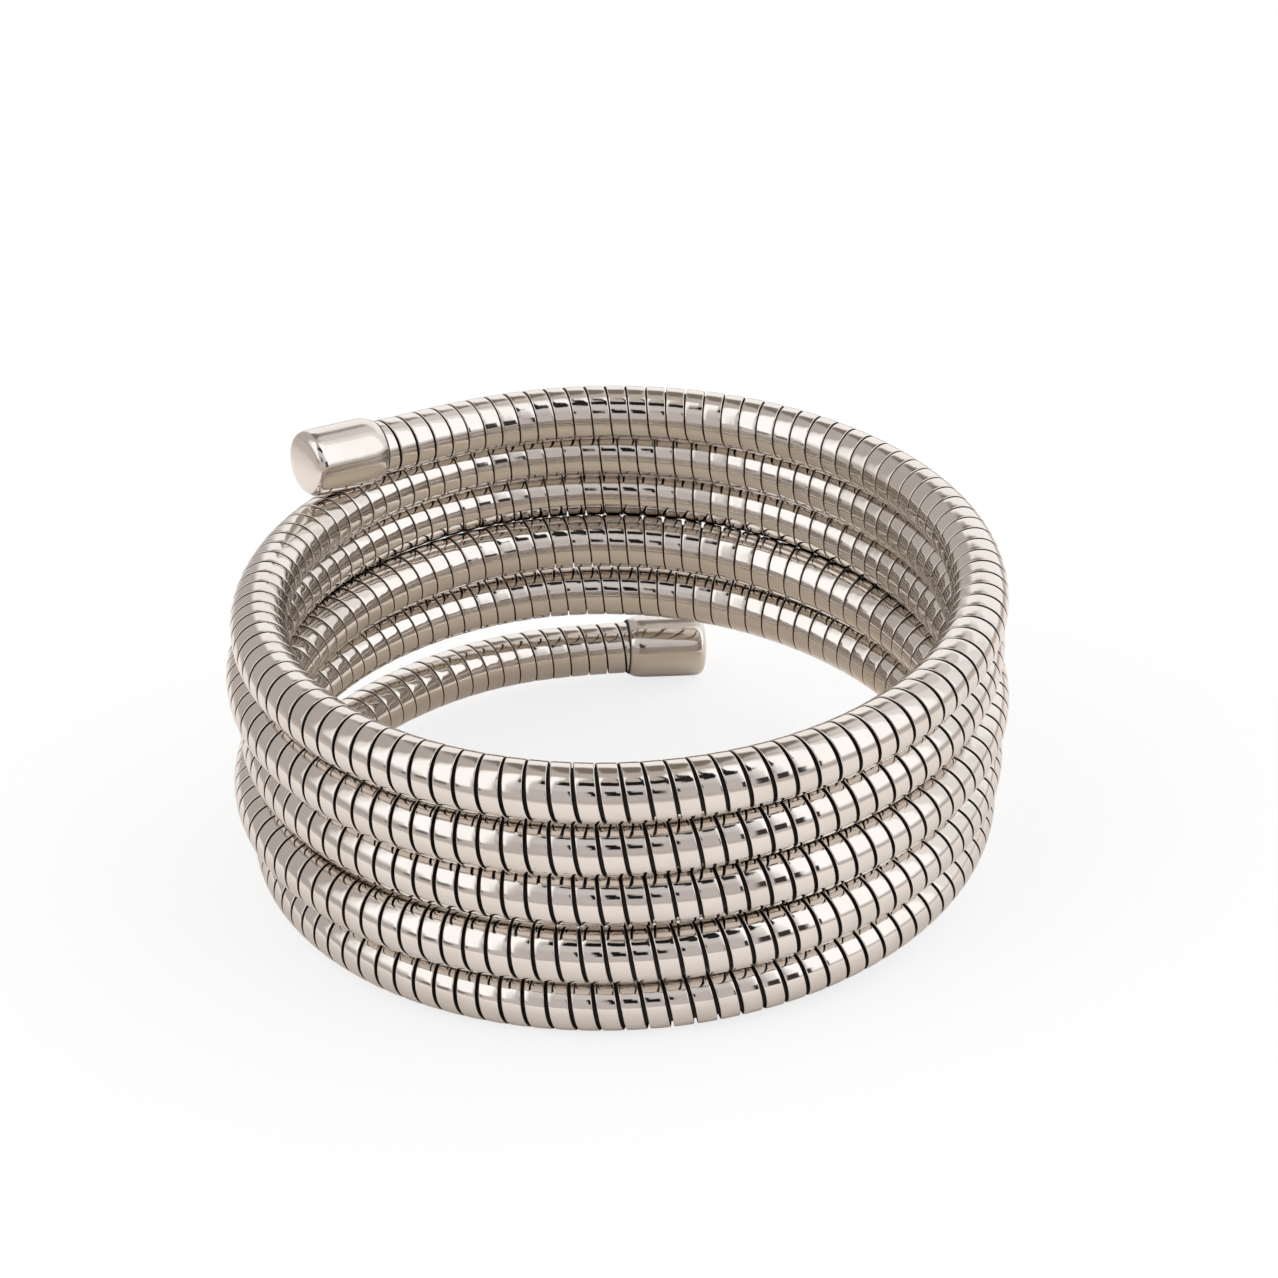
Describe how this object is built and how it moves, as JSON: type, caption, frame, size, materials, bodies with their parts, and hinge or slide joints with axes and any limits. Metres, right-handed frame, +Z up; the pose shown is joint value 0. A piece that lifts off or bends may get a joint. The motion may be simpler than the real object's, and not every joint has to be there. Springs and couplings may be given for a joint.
{
  "type": "coiled tube wrap bracelet",
  "caption": "Springy wrap bracelet of one flexible metal tube wound from strip, coiled round the wrist, with a plain cap on each end.",
  "frame": {"origin": "on the surface that the coil rests on, below the middle of its bounding box", "axes": "+Z up, nearly along the coil's axis; +Y towards the back, where both ends are; +X to the right"},
  "size_m": [0.07, 0.0744, 0.0355],
  "materials": {
    "wound_strip": "polished warm silver-coloured plating",
    "end_caps": "polished warm silver-coloured plating, softly worn"
  },
  "bodies": {
    "root": {"wound_tube": "wound_strip", "upper_end_cap": "end_caps", "lower_end_cap": "end_caps"}
  },
  "joints": []
}
